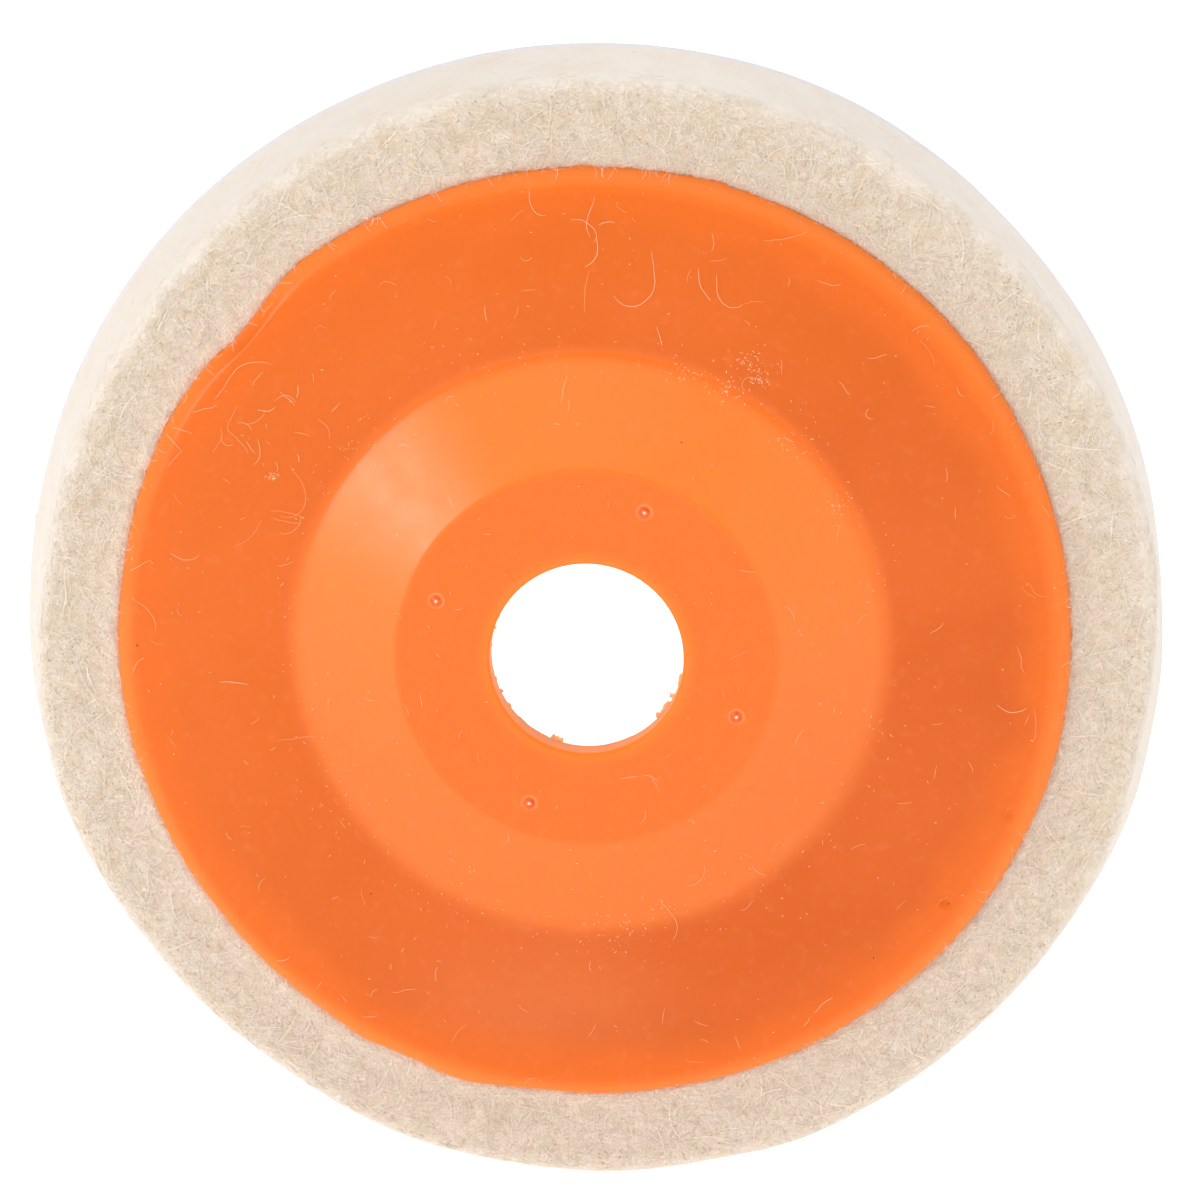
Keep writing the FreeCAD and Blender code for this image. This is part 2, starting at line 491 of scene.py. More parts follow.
def fibre_material(name, pale, deep, matted=0.0):
    """Wool fibres, each with its own shade between two tones. Matted ones take on the felt's patches too."""
    n = Nodes(name)
    base = n.mix(n.attribute("shade"), pale, deep)
    base = n.mix(n.range(n.noise(0.8, 2.0), 0.3, 0.7, 0.0, 0.2), base, deep)
    if matted:
        # Matted fibres also take the painted bounce light and painted shadow beside the plate.
        base = painted_plate_bounce_and_shadow(n, matted_tan(n, base, matted), 0.22, colour(244, 228, 210))
        base = by_the_edge(n, base)
    n.put(n.shader.inputs["Base Color"], base)
    n.shader.inputs["Roughness"].default_value = 0.7
    n.shader.inputs["Specular IOR Level"].default_value = 0.3
    n.shader.inputs["Sheen Weight"].default_value = 0.2
    return n.material


def glue_material():
    """Cured amber contact glue with a skin of bubbles."""
    n = Nodes("amber_glue")
    clouds = n.range(n.noise(0.6, 4.0), 0.3, 0.7, 0.0, 1.0)
    base = n.mix(clouds, colour(206, 170, 104), colour(176, 132, 70))
    n.put(n.shader.inputs["Base Color"], base)
    n.put(n.shader.inputs["Roughness"], n.range(n.noise(2.0, 3.0), 0.3, 0.7, 0.25, 0.5))
    n.bump(n.noise(2.5, 3.0), 0.4, 0.1)
    return n.material


FLOOR_GLOW = 0.5  # a lit white table: the floor's own light softens the wheel's shadow


def floor_material():
    n = Nodes("pale_floor")
    clouds = n.range(n.noise(0.004, 2.0), 0.3, 0.7, 0.0, 1.0)
    base = n.mix(clouds, colour(252, 252, 252), colour(249, 249, 250))
    n.put(n.shader.inputs["Base Color"], base)
    n.shader.inputs["Roughness"].default_value = 0.9
    n.shader.inputs["Specular IOR Level"].default_value = 0.0
    n.shader.inputs["Emission Color"].default_value = (1.0, 1.0, 1.0, 1.0)
    n.shader.inputs["Emission Strength"].default_value = FLOOR_GLOW
    return n.material


# ---------------- the backing plate

PLATE_COLUMNS = 640
GATE_COUNT = 4
GATE_START_DEG = 69.0
GATE_CIRCLE_R = 13.5
GATE_ZONE = 1.1  # half width of the ring of finer rows that the gate marks need
# Where the moulding's rim is out of round: (angle in degrees, half width in degrees, how far out in mm)
RIM_LOBES = (
    (145, 40, -0.42), (138, 6, -0.80), (127, 3, 0.15), (88, 10, -0.15), (75, 1.1, 0.12), (107, 9, -0.10),
    (171, 8, -0.15), (200, 6, -0.12), (218, 16, -0.28), (-119, 3, 0.26), (-106, 4, 0.42), (-95, 3, -0.15),
    (282, 22, -0.27), (-52, 12, -0.20), (-14, 8, 0.12), (40, 8, 0.08),
)
# Where flash is left at the rim's foot: (angle in degrees, half width in degrees, how far out in mm)
FLASH_RUNS = ((-111, 9, 0.34), (84, 14, 0.12), (165, 20, 0.1))
# Small knocks on the flange: (x, z, size, depth), in millimetres
DENTS = (
    (35.8, -14.2, 0.55, 0.22), (30.4, -21.9, 0.6, 0.25),
    (34.6, -15.6, 0.3, 0.08), (-29.4, 18.9, 0.5, 0.06),
)


def gate_distance(points):
    """Distance from the nearest moulding gate, in millimetres, as seen from the back."""
    away = np.full(points.shape[:-1], 9.0)
    for number in range(GATE_COUNT):
        angle = math.radians(GATE_START_DEG + 360 * number / GATE_COUNT)
        x, z = GATE_CIRCLE_R * math.cos(angle), GATE_CIRCLE_R * math.sin(angle)
        away = np.minimum(away, np.hypot(points[..., 0] - x, points[..., 2] - z))
    return away


def gate_marks(away):
    """Depth of a moulding gate's mark at a distance from it: a fine ring groove round a low pip."""
    return 0.10 * np.exp(-((away - 0.5) / 0.14) ** 2) - 0.09 * np.exp(-(away / 0.22) ** 2)


def dents(points):
    """Depth of the small knocks on the flange, each with a raised lip round it."""
    depth = np.zeros(points.shape[:-1])
    for x, z, size, deep in DENTS:
        away = np.hypot(points[..., 0] - x, points[..., 2] - z) / size
        depth += deep * (np.exp(-away**2) - 0.35 * np.exp(-((away - 1.5) / 0.5) ** 2))
    return depth


def plate_outline():
    """The plate's section, from the bore out along the back, round the rim and in along the front."""
    rim_back_y = CONE_HEIGHT + CROWN_DROP
    return rounded_outline([
        (BORE_R, 0, 0.4, 0.35),
        (GATE_CIRCLE_R - GATE_ZONE, 0, 0, 0.10),
        (GATE_CIRCLE_R + GATE_ZONE, 0, 0, 0.35),
        (HUB_FLAT_R, 0, 0.5, 0.65),
        (CONE_BASE_R, CONE_HEIGHT, 1.6, 0.7),
        (CROWN_START_R, CONE_HEIGHT, 30.0, 0.4),
        (RIM_R, rim_back_y, 1.85, 0.05),
        (RIM_R, GLUE_FACE_Y, 0, 3.0),
        (WELL_MOUTH_R, GLUE_FACE_Y, 0.5, 1.0),
        (WELL_FLOOR_R, HUB_FRONT_Y, 0.8, 1.2),
        (BORE_R, HUB_FRONT_Y, 0.1, 0.4),
    ])


def rim_shift(angle):
    """How far the moulding's rim stands in or out of round."""
    shift = 0.03 * noise3(turned(9.0, 0, angle), 2.0, 11) + 0.025 * noise3(turned(30.0, 0, angle), 1.5, 12)
    for centre, width, size in RIM_LOBES:
        shift = shift + size * bump_at(angle, centre, width)
    return shift


def rim_flash(angle):
    """Ragged flash at the rim's foot, longest at the lower left."""
    coarse = noise3(turned(RIM_R, 3, angle), 0.8, 13)
    fine = noise3(turned(RIM_R, 8, angle), 0.35, 14)
    reach = 0.05
    for centre, width, size in FLASH_RUNS:
        reach = reach + size * bump_at(angle, centre, width)
    return reach * np.clip(0.5 + coarse + 0.6 * fine, 0, 2)


def backing_plate(material):
    outline = plate_outline()
    normals = outline_normals(outline)
    angle = np.linspace(0, 2 * math.pi, PLATE_COLUMNS, endpoint=False)[None, :]
    radius, y = outline[:, :1], outline[:, 1:]
    points = turned(radius, y, angle)
    is_back = (normals[:, 1:] < -0.5) * 1.0
    sink = 0.03 * noise3(points, 9.0, 15) + 0.012 * noise3(points, 3.0, 16)
    gate = gate_distance(points)
    inward = sink + is_back * (gate_marks(gate) + dents(points))
    near_rim = ease(RIM_R - 3.2, RIM_R - 0.4, radius)
    at_foot = ease(GLUE_FACE_Y - 0.35, GLUE_FACE_Y - 0.1, y) * ease(RIM_R - 0.3, RIM_R - 0.05, radius)
    new_radius = radius - normals[:, :1] * inward + near_rim * rim_shift(angle) + at_foot * rim_flash(angle)
    new_y = y - normals[:, 1:] * inward
    made = turned(new_radius, new_y, angle).reshape(-1, 3)
    piece = make_object("backing_plate_body", made, ring_faces(len(outline), PLATE_COLUMNS), material)
    set_attribute(piece, "gate", np.where(is_back > 0, gate, 9.0))
    return piece


# Flash left round the front edge of the bore: (angle in degrees, width in mm, reach into the hole in mm)
FLAKES = (
    (-155, 0.35, 0.26), (-145, 0.5, 0.20), (-163, 0.4, 0.12), (-109, 1.15, 0.50), (-42, 0.5, 0.45),
    (-36, 1.5, 0.34), (-27, 0.5, 0.40), (-16, 1.1, 0.22), (176, 0.25, 0.10), (165, 0.3, 0.15),
    (158, 0.3, 0.12), (-120, 1.6, 0.06), (-70, 2.2, 0.05), (-133, 0.9, 0.07),
)


def flake_slices(rng, degrees, width, reach):
    """Cross-sections of one flake, four points each: a thin ragged slab with blunt ends."""
    shares = np.sort(rng.uniform(0.06, 0.94, 6))
    heights = rng.uniform(0.45, 1.0, 6)
    shares = np.concatenate([[0, 0.03], shares, [0.97, 1]])
    heights = np.concatenate([[0.02, heights[0] * 0.8], heights, [heights[-1] * 0.7, 0.02]]) * reach
    lift = rng.uniform(-0.05, 0.08)
    slices = []
    for share, height in zip(shares, heights):
        angle = math.radians(degrees) + (share - 0.5) * width / BORE_R
        section = (
            (BORE_R + 0.15, HUB_FRONT_Y - 0.04),
            (BORE_R + 0.15, HUB_FRONT_Y - 0.18),
            (BORE_R - height, HUB_FRONT_Y - 0.15 + lift),
            (BORE_R - height, HUB_FRONT_Y - 0.07 + lift),
        )
        slices += [(radius * math.cos(angle), y, radius * math.sin(angle)) for radius, y in section]
    return slices


def bore_burrs(material, seed=21):
    rng = np.random.default_rng(seed)
    points, faces = [], []
    for degrees, width, reach in FLAKES:
        start = len(points)
        points += flake_slices(rng, degrees, width, reach)
        last = len(points) - 4
        for low in range(start, last, 4):
            faces += [(low + k, low + 4 + k, low + 4 + (k + 1) % 4, low + (k + 1) % 4) for k in range(4)]
        faces += [(start + 3, start + 2, start + 1, start), (last, last + 1, last + 2, last + 3)]
    return make_object("bore_burrs", points, faces, material, smooth=False)


# ---------------- the glue

def adhesive(material):
    """The glue film, with a bead squeezed out at its inner edge, in the well."""
    columns = 480
    film_r = RIM_R - 1.8
    outline = rounded_outline([
        (FELT_INNER_R - 0.5, GLUE_FACE_Y, 0.05, 0.3),
        (film_r, GLUE_FACE_Y, 0, 0.1),
        (film_r, FELT_BACK_Y, 0, 3.0),
        (FELT_INNER_R - 0.1, FELT_BACK_Y, 0.05, 0.1),
        (FELT_INNER_R - 0.1, FELT_BACK_Y + 0.25, 0.05, 0.1),
        (FELT_INNER_R - 0.5, FELT_BACK_Y + 0.05, 0.08, 0.1),
    ])
    angle = np.linspace(0, 2 * math.pi, columns, endpoint=False)[None, :]
    radius, y = outline[:, :1], outline[:, 1:]
    bead = ease(FELT_INNER_R + 0.6, FELT_INNER_R - 0.2, radius)
    ring = turned(FELT_INNER_R, 0, angle)
    swell = 0.35 * noise3(ring, 2.5, 31) + 0.15 * noise3(ring, 0.8, 32)
    made = turned(radius - bead * (0.1 + swell), y, angle).reshape(-1, 3)
    return make_object("adhesive_film", made, ring_faces(len(outline), columns), material)


# ---------------- the felt

FELT_COLUMNS = 760
FELT_OUT_R = WHEEL_R - 0.05
BACK_EDGE_R = FELT_BACK_R - 0.05
# Where the hand-cut outside stands out of round: (angle in degrees, half width, how far out in millimetres)
FRONT_LOBES = (
    (5, 13, -0.85), (22, 10, -0.40), (40, 14, -0.40), (68, 10, 0.15), (140, 14, 0.15), (166, 6, -0.10),
    (186, 8, 0.20), (198, 9, 0.30), (217, 9, -0.35), (234, 9, -0.45), (252, 7, 0.15), (273, 9, 0.25),
    (292, 7, 0.45), (303, 6, 0.15), (341, 7, 0.05), (348, 6, -0.25),
)
BACK_LOBES = ((45, 32, 0.40), (155, 40, -1.00), (8, 14, 0.35))


def felt_outline():
    """The felt's section, from the inner edge of the back out to the wall, and in along the working face."""
    return rounded_outline([
        (FELT_INNER_R, FELT_BACK_Y, 0.15, 2.5),
        (RIM_R - 1.4, FELT_BACK_Y, 0, 0.24),
        (BACK_EDGE_R, FELT_BACK_Y, 1.2, 0.45),
        (FELT_OUT_R, WORKING_FACE_Y, 0.7, 0.75),
        (FELT_INNER_R, WORKING_FACE_Y, 0.5, 0.90),
    ])


def cut_shift(angle, y):
    """How far the hand-cut outside stands out of round. Its upper half has another shape at the back edge."""
    front = 0.04 * noise3(turned(14.0, 0, angle), 4.0, 41)
    for centre, width, size in FRONT_LOBES:
        front = front + size * bump_at(angle, centre, width)
    back = sum(size * bump_at(angle, centre, width) for centre, width, size in BACK_LOBES)
    low = ease(0.2, -0.4, np.sin(angle))
    back = back + (front - back) * low
    depth = np.clip((y - FELT_BACK_Y) / (WORKING_FACE_Y - FELT_BACK_Y), 0, 1)
    return back + (front - back) * depth


def felt_relief(points, cut):
    """Small hills and hollows of the matted faces, and the calmer cut wall."""
    matted = 0.10 * noise3(points, 2.6, 42) + 0.10 * noise3(points, 1.1, 43) + 0.07 * noise3(points, 0.55, 44)
    calm = 0.03 * noise3(points, 7.0, 45) + 0.015 * noise3(points, 1.5, 46)
    return np.minimum(matted, 0.14) * (1 - cut) + calm * cut


def felt_skin(radius, y, normal_radius, normal_y, angle):
    """Points on the felt's real surface, from its ideal section, and how far each is cut wall, 0 to 1."""
    points = turned(radius, y, angle)
    ragged = 0.9 * noise3(points, 2.2, 47) + 0.5 * noise3(points, 0.8, 48)
    upper = ease(-0.15, 0.35, np.sin(angle))
    brim = 0.9 * ease(BACK_EDGE_R - 2.0, BACK_EDGE_R + 0.3, radius + ragged) * upper
    brim = brim * ease(FELT_BACK_Y + 3.0, FELT_BACK_Y + 2.0, y)
    cut = np.maximum(np.clip(normal_radius, 0, 1) ** 2, brim)
    rim = RIM_R + rim_shift(angle)
    under_plate = ease(rim - 0.05, rim - 0.4, radius) * ease(FELT_BACK_Y + 0.5, FELT_BACK_Y + 0.2, y)
    swell = 0.42 * np.exp(-((radius - rim - 0.35) / 0.9) ** 2) * np.clip(-normal_y, 0, 1)
    lift = (felt_relief(points, cut) + swell) * (1 - under_plate)
    outer = ease(RIM_R + 2.0, BACK_EDGE_R, radius)
    new_radius = radius + normal_radius * lift + outer * cut_shift(angle, y)
    return turned(new_radius, y + normal_y * lift, angle), cut


def felt_ring(material):
    outline = felt_outline()
    normals = outline_normals(outline)
    angle = np.linspace(0, 2 * math.pi, FELT_COLUMNS, endpoint=False)[None, :]
    made, cut = felt_skin(outline[:, :1], outline[:, 1:], normals[:, :1], normals[:, 1:], angle)
    faces = ring_faces(len(outline), FELT_COLUMNS)
    piece = make_object("felt_ring_body", made.reshape(-1, 3), faces, material)
    set_attribute(piece, "cut", cut)
    return piece


# ---------------- fibres

def wander(rng, start, heading, length, steps, curl):
    """Flat paths that wander: (fibres, steps + 1, 2) from starts, headings and lengths."""
    count = len(start)
    turn = rng.normal(0, curl, (count, 1)) + rng.normal(0, curl * 0.8, (count, steps))
    angle = heading[:, None] + np.cumsum(turn * length[:, None] / steps, axis=1)
    move = np.stack([np.cos(angle), np.sin(angle)], axis=-1) * (length / steps)[:, None, None]
    return np.concatenate([start[:, None], start[:, None] + np.cumsum(move, axis=1)], axis=1)


def tubes(paths, normals, widths):
    """Thin three-sided closed tubes along paths. Returns (points, quads, triangles)."""
    count, rings, _ = paths.shape
    along = np.gradient(paths, axis=1)
    along /= np.linalg.norm(along, axis=2, keepdims=True) + 1e-9
    side = np.cross(along, normals)
    side /= np.linalg.norm(side, axis=2, keepdims=True) + 1e-9
    up = np.cross(side, along)
    share = np.linspace(0, 1, rings)
    taper = (0.45 + 0.55 * np.sin(math.pi * share) ** 0.5)[None, :, None]
    ring = []
    for k in range(3):
        turn = 2 * math.pi * k / 3 + math.pi / 6
        across = math.cos(turn) * side + math.sin(turn) * up
        ring.append(paths + across * (widths[:, None, None] / 2) * taper)
    points = np.stack(ring, axis=2).reshape(-1, 3)
    base = (np.arange(count) * rings * 3)[:, None]
    quads = []
    for low in (base + 3 * step for step in range(rings - 1)):
        for k in range(3):
            after = (k + 1) % 3
            quads.append(np.concatenate([low + k, low + after, low + 3 + after, low + 3 + k], axis=1))
    last = base + (rings - 1) * 3
    first_caps = np.concatenate([base + 2, base + 1, base], axis=1)
    last_caps = np.concatenate([last, last + 1, last + 2], axis=1)
    return points, np.concatenate(quads), np.concatenate([first_caps, last_caps])


def fibre_piece(name, rng, paths, normals, widths, material):
    """One object of many fibres, each with its own shade."""
    points, quads, caps = tubes(paths, normals, widths)
    mesh = bpy.data.meshes.new(name)
    mesh.from_pydata((points * MM).tolist(), [], quads.tolist() + caps.tolist())
    mesh.materials.append(material)
    mesh.update()
    piece = bpy.data.objects.new(name, mesh)
    bpy.context.scene.collection.objects.link(piece)
    set_attribute(piece, "shade", np.repeat(rng.random(len(paths)), paths.shape[1] * 3))
    return piece


class FeltNap:
    """Fibres matted into the felt, which wander along its section's outline and round its axis."""

    def __init__(self):
        self.outline = felt_outline()
        self.normals = outline_normals(self.outline)
        steps = np.linalg.norm(np.diff(self.outline, axis=0), axis=1)
        self.run = np.concatenate([[0], np.cumsum(steps)])

    def run_at(self, radius, y):
        """Distance along the outline of the point nearest to a place in the section."""
        return self.run[np.argmin(np.hypot(self.outline[:, 0] - radius, self.outline[:, 1] - y))]

    def lay(self, name, seed, count, between, length, height, width, curl, material, steps=5):
        """Fibres that start and stay between two distances along the outline."""
        rng = np.random.default_rng(seed)
        low, high = between
        tries = 2 * count
        middle_r = float(np.interp((low + high) / 2, self.run, self.outline[:, 0]))
        along = rng.uniform(low, high, tries)
        around = rng.uniform(0, 2 * math.pi * middle_r, tries)
        start = np.stack([along, around], axis=1)
        lengths = rng.uniform(*length, tries)
        paths = wander(rng, start, rng.uniform(0, 2 * math.pi, tries), lengths, steps, curl)
        inside = ((paths[..., 0] > low) & (paths[..., 0] < high)).all(1)
        paths = paths[np.flatnonzero(inside)[:count]]
        run, angle = paths[..., 0], paths[..., 1] / middle_r
        radius, y = (np.interp(run, self.run, self.outline[:, k]) for k in range(2))
        normal_r, normal_y = (np.interp(run, self.run, self.normals[:, k]) for k in range(2))
        ground, _ = felt_skin(radius, y, normal_r, normal_y, angle)
        normals = turned(normal_r, normal_y, angle)
        share = np.linspace(0, 1, steps + 1)[None, :]
        top = rng.uniform(*height, (len(paths), 1))
        ripple_size = rng.uniform(0, 0.5, (len(paths), 1))
        ripple = ripple_size * np.sin(share * rng.uniform(3, 12, (len(paths), 1)))
        heights = top * np.sin(math.pi * share) ** 0.6 * (1 + ripple) - 0.03
        solid = ground + normals * heights[..., None]
        widths = rng.uniform(*width, len(paths))
        return fibre_piece(name, rng, solid, normals, widths, material)


# Wool strands that static holds to the plastic: (x, z, heading in degrees, length, turn in degrees), in mm
STRANDS = (
    (0.5, 38.4, -100, 3.6, 25), (0.6, 35.0, -80, 3.0, -50), (0.0, 32.2, -105, 3.6, 25),
    (-1.5, 36.4, 0, 3.4, -170), (0.8, 36.0, 25, 1.4, -70), (5.2, 33.9, -85, 7.6, -190),
    (8.5, 32.4, -115, 1.2, 60), (9.1, 32.4, -92, 2.9, 40), (10.6, 31.9, -97, 4.3, 165),
    (14.4, 34.8, -5, 3.8, 60), (-5.0, 38.8, -85, 2.9, 150), (-6.6, 36.2, 35, 1.6, -45),
    (-1.8, 23.5, -92, 2.2, 0), (14.5, 23.0, 160, 2.8, 150), (6.1, -21.9, -55, 4.4, -80),
    (9.9, -18.5, -75, 3.0, -125), (13.9, -18.6, -75, 1.9, 75), (21.0, -30.8, -145, 2.2, 15),
    (-33.4, 19.8, 10, 2.2, 35), (-31.5, 21.0, 40, 6.4, -60), (-28.3, 22.2, 65, 1.5, 0),
    (-27.9, 20.1, 5, 1.6, 35), (-26.4, 20.9, 38, 2.2, -45), (-26.0, 21.7, -32, 1.7, 15),
    (-24.6, 21.2, 52, 1.1, 0), (-27.3, 20.0, -92, 2.2, -20), (-27.9, 17.6, -75, 2.4, -60),
    (-29.6, 20.4, -130, 2.6, 35), (-31.0, 18.6, -95, 2.4, -55), (-30.5, 18.4, -48, 2.7, -45),
    (-25.3, 15.4, -58, 6.4, -140), (-26.9, 11.5, -4, 3.0, 4), (-26.9, 10.9, -8, 2.6, 50),
    (-24.4, 11.1, -82, 2.8, -105), (-27.7, 10.7, -105, 3.4, -15), (-35.2, 18.5, 0, 1.8, 0),
    (-35.8, 17.9, -38, 2.0, -30), (-34.4, 16.5, -125, 1.9, -40), (-22.8, 19.4, -52, 2.1, -75),
    (-39.0, 3.8, -35, 3.8, -95), (-37.2, 7.1, -140, 2.2, -15), (-38.0, -1.5, -155, 1.8, 25),
    (-31.5, -3.5, 12, 2.4, -8), (-35.6, 7.7, -25, 2.8, 90), (-26.7, -8.6, 15, 3.4, -35),
    (36.0, -17.2, -80, 2.0, -40), (34.9, -19.7, -92, 3.0, -110), (27.4, 26.6, -38, 2.6, -20),
    (37.0, 6.0, -60, 2.4, 80), (36.1, 0.5, -75, 2.6, 60), (34.5, -4.6, -40, 2.8, 70),
    (37.6, -5.0, -62, 3.0, -55), (38.0, 12.5, -65, 2.8, 25), (-17.0, -31.0, 25, 2.0, -30),
    (19.0, 31.5, -30, 2.0, 40), (-12.0, -35.5, 60, 2.2, -70),
)
# Scuffed spots of matted wool dust: (x, z, spread in millimetres, strokes)
SCUFFS = (
    (13.4, 24.4, 1.0, 60), (14.4, 23.2, 0.5, 40), (8.6, 23.2, 0.9, 26), (11.7, 22.1, 0.7, 34),
    (3.1, -25.2, 1.3, 34), (20.8, 12.6, 0.7, 30), (-20.0, 17.0, 1.2, 16), (6.0, -22.4, 0.8, 14),
    (17.0, 17.5, 1.4, 24), (-21.5, -13.5, 1.5, 20), (-26.7, 14.4, 0.25, 26),
)
# Dark specks of grit: (x, z), in millimetres
GRIT = ((7.9, 18.2), (30.7, -22.3), (24.5, -27.2), (-18.8, -22.2), (-38.5, -0.4))


def back_surface(radius):
    """Height that a loose fibre rests at: on the plate, over its rim, or on the felt."""
    outline = plate_outline()
    rim = int(np.argmax(outline[:, 0]))
    on_plate = np.interp(radius, outline[:rim, 0], outline[:rim, 1])
    shoulder_r = RIM_R - 0.5
    shoulder_y = float(np.interp(shoulder_r, outline[:rim, 0], outline[:rim, 1]))
    over_rim = np.interp(radius, (shoulder_r, RIM_R + 0.4), (shoulder_y, FELT_BACK_Y - 0.1))
    return np.where(radius < shoulder_r, on_plate, over_rim)


def laid_on_back(name, rng, paths, clearance, widths, material):
    """Fibres that lie on the back of the wheel, a little above its surface."""
    reach = np.linalg.norm(paths, axis=2)
    keep = (reach > BORE_R + 0.5).all(1)
    paths, reach, clearance, widths = paths[keep], reach[keep], clearance[keep], widths[keep]
    solid = np.stack([paths[..., 0], back_surface(reach) - clearance, paths[..., 1]], axis=-1)
    normals = np.broadcast_to(np.array([0.0, -1.0, 0.0]), solid.shape)
    return fibre_piece(name, rng, solid, normals, widths, material)


def ring_starts(rng, count, inner, outer):
    """Points spread evenly over a flat ring."""
    radius = np.sqrt(rng.uniform(inner**2, outer**2, count))
    angle = rng.uniform(0, 2 * math.pi, count)
    return np.stack([radius * np.cos(angle), radius * np.sin(angle)], axis=1)


def wavy_clearance(rng, count, steps, low, high):
    """Clearance along each fibre, which touches down here and there."""
    phase = rng.uniform(0, 2 * math.pi, (count, 1))
    share = np.linspace(0, 1, steps + 1)[None, :]
    wave = 0.5 + 0.5 * np.sin(share * rng.uniform(4, 10, (count, 1)) + phase)
    return low + (high - low) * wave * rng.random((count, 1))


def placed_strands(name, material, seed=61):
    rng = np.random.default_rng(seed)
    steps = 18
    table = np.array(STRANDS, float)
    count = len(table)
    share = (np.arange(steps) + 0.5) / steps
    wiggle = np.cumsum(rng.normal(0, 0.10, (count, steps)), axis=1)
    heading = np.radians(table[:, 2:3] + table[:, 4:5] * share[None, :] ** 1.8) + wiggle
    move = np.stack([np.cos(heading), np.sin(heading)], axis=-1) * (table[:, 3] / steps)[:, None, None]
    start = table[:, None, :2]
    paths = np.concatenate([start, start + np.cumsum(move, axis=1)], axis=1)
    clearance = wavy_clearance(rng, count, steps, 0.02, 0.14)
    return laid_on_back(name, rng, paths, clearance, rng.uniform(0.024, 0.042, count), material)


def strewn_fibres(name, seed, starts, length, width, curl, high, material, steps=5):
    """Short loose fibres at random headings from given starts."""
    rng = np.random.default_rng(seed)
    count = len(starts)
    heading = rng.uniform(0, 2 * math.pi, count)
    paths = wander(rng, starts, heading, rng.uniform(*length, count), steps, curl)
    clearance = wavy_clearance(rng, count, steps, 0.015, high)
    return laid_on_back(name, rng, paths, clearance, rng.uniform(*width, count), material)


def dust_starts(rng):
    """Wool dust: thin over the whole plate, thicker round the foot of the cone and in a few scuffed spots."""
    over_all = ring_starts(rng, 330, BORE_R + 1.0, RIM_R - 0.5)
    at_foot = ring_starts(rng, 260, CONE_BASE_R - 1.8, CONE_BASE_R + 2.6)
    spots = [rng.normal((x, z), (spread, spread * 0.7), (count, 2)) for x, z, spread, count in SCUFFS]
    return np.concatenate([over_all, at_foot] + spots)


def rim_hairs(name, material, seed=66):
    """Hairs of the felt that reach over the plate's rim."""
    rng = np.random.default_rng(seed)
    count, steps = 700, 6
    angle = rng.uniform(0, 2 * math.pi, count)
    root = RIM_R + rim_shift(angle) + rng.uniform(0.1, 0.9, count)
    start = np.stack([root * np.cos(angle), root * np.sin(angle)], axis=1)
    heading = angle + math.pi + rng.normal(0, 1.1, count)
    paths = wander(rng, start, heading, rng.uniform(0.3, 1.3, count), steps, 0.9)
    clearance = wavy_clearance(rng, count, steps, 0.03, 0.3)
    return laid_on_back(name, rng, paths, clearance, rng.uniform(0.014, 0.028, count), material)


# ---------------- stage, lights and camera

def floor(material):
    """A wide pale floor that the felt's lowest point touches."""
    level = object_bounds()[0].z / MM
    half = 4000.0
    cells = 8
    line = np.linspace(-half, half, cells + 1)
    points = [(x, y, level) for x in line for y in line]
    row = cells + 1
    corners = [i * row + j for i in range(cells) for j in range(cells)]
    faces = [(corner, corner + row, corner + row + 1, corner + 1) for corner in corners]
    piece = make_object("floor", points, faces, material)
    piece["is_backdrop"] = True


def area_light(name, azimuth, elevation, distance, size, power):
    """A square soft light that looks at the wheel. Azimuth 0 is in front of the wheel's back, at -Y."""
    data = bpy.data.lights.new(name, "AREA")
    data.shape = "SQUARE"
    data.size = size
    data.energy = power
    lamp = bpy.data.objects.new(name, data)
    a, e = math.radians(azimuth), math.radians(elevation)
    away = Vector((math.sin(a) * math.cos(e), -math.cos(a) * math.cos(e), math.sin(e)))
    lamp.location = away * distance
    lamp.rotation_mode = "QUATERNION"
    lamp.rotation_quaternion = away.to_track_quat("Z", "Y")
    bpy.context.scene.collection.objects.link(lamp)


def sky_light(strength):
    """Very soft light from straight above, which whitens the floor."""
    data = bpy.data.lights.new("sky", "SUN")
    data.energy = strength
    data.angle = math.radians(100)
    lamp = bpy.data.objects.new("sky", data)
    lamp.location = (0, 0, 1)
    bpy.context.scene.collection.objects.link(lamp)


# The studio round the wheel: how bright it is straight in front of the plate, off to the sides, and behind
DARK_FRONT = 0.25
BRIGHT_SIDES = 0.55
BACKDROP = 1.0


def world():
    """A white studio that is dimmer straight in front of the plate."""
    made = bpy.data.worlds.new("studio")
    made.use_nodes = True
    tree = made.node_tree
    back = tree.nodes["Background"]
    place = tree.nodes.new("ShaderNodeTexCoord")
    split = tree.nodes.new("ShaderNodeSeparateXYZ")
    ramp = tree.nodes.new("ShaderNodeMapRange")
    ramp.interpolation_type = "SMOOTHSTEP"
    for socket, value in zip(ramp.inputs, (None, -0.97, -0.65, DARK_FRONT, BRIGHT_SIDES)):
        if value is not None:
            socket.default_value = value
    seen = tree.nodes.new("ShaderNodeLightPath")
    choose = tree.nodes.new("ShaderNodeMix")
    choose.inputs["B"].default_value = BACKDROP
    tree.links.new(place.outputs["Generated"], split.inputs[0])
    tree.links.new(split.outputs["Y"], ramp.inputs[0])
    tree.links.new(ramp.outputs[0], choose.inputs["A"])
    tree.links.new(seen.outputs["Is Camera Ray"], choose.inputs["Factor"])
    tree.links.new(choose.outputs[0], back.inputs["Strength"])
    back.inputs["Color"].default_value = (1.0, 1.0, 1.0, 1.0)
    bpy.context.scene.world = made


